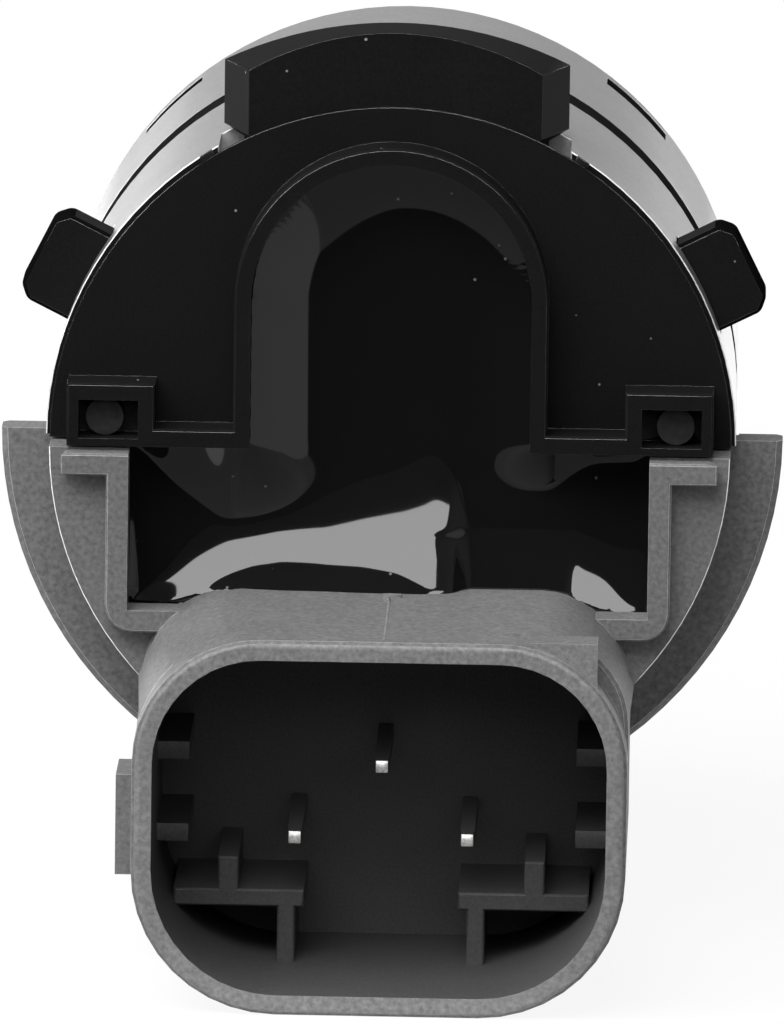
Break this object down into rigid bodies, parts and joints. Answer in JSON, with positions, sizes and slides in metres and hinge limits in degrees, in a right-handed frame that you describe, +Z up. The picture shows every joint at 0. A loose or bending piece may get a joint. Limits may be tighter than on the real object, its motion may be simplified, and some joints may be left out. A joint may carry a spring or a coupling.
{
  "type": "parking sensor",
  "caption": "Round ultrasonic parking sensor for a vehicle bumper, with a silver barrel, locating tab and ears, a potted rear housing and a plug socket.",
  "frame": {"origin": "middle of the membrane's outer face, on the sensor's axis", "axes": "+Y along the sensor's axis, the way it senses; +Z up, with the plug socket below the axis; +X to the right seen from the socket's end"},
  "size_m": [0.031, 0.0376, 0.037],
  "materials": {
    "silver_paint": "satin silver paint",
    "seal_rubber": "matt",
    "black_plastic": "fine moulded",
    "grey_plastic": "lightly grained",
    "black_resin": "cast, glossy",
    "tinned_pin": "bright tinned",
    "cup_aluminium": "drawn, satin",
    "ring_silicone": "matt",
    "piezo_ceramic": "fired",
    "damping_foam": "open cell",
    "natural_plastic": "moulded",
    "lead_wire": "bare wire",
    "board_laminate": "solder resist",
    "chip_epoxy": "moulded",
    "ferrite": "sintered",
    "capacitor_body": "fired",
    "resistor_body": "fired"
  },
  "bodies": {
    "root": {"front_cap": "silver_paint", "barrel_sleeve": "silver_paint", "seal_ring": "seal_rubber", "rear_shell": "black_plastic", "connector_housing": "grey_plastic", "potting_resin": "black_resin", "terminal_pin_top": "tinned_pin", "terminal_pin_left": "tinned_pin", "terminal_pin_right": "tinned_pin", "transducer_cup": "cup_aluminium", "decoupling_ring": "ring_silicone", "piezo_disc": "piezo_ceramic", "damping_pad": "damping_foam", "transducer_carrier": "natural_plastic", "transducer_lead_left": "lead_wire", "transducer_lead_right": "lead_wire", "circuit_board": "board_laminate", "control_chip": "chip_epoxy", "pulse_transformer": "ferrite", "capacitor_a": "capacitor_body", "capacitor_b": "capacitor_body", "capacitor_c": "capacitor_body", "resistor_a": "resistor_body", "resistor_b": "resistor_body"}
  },
  "joints": []
}
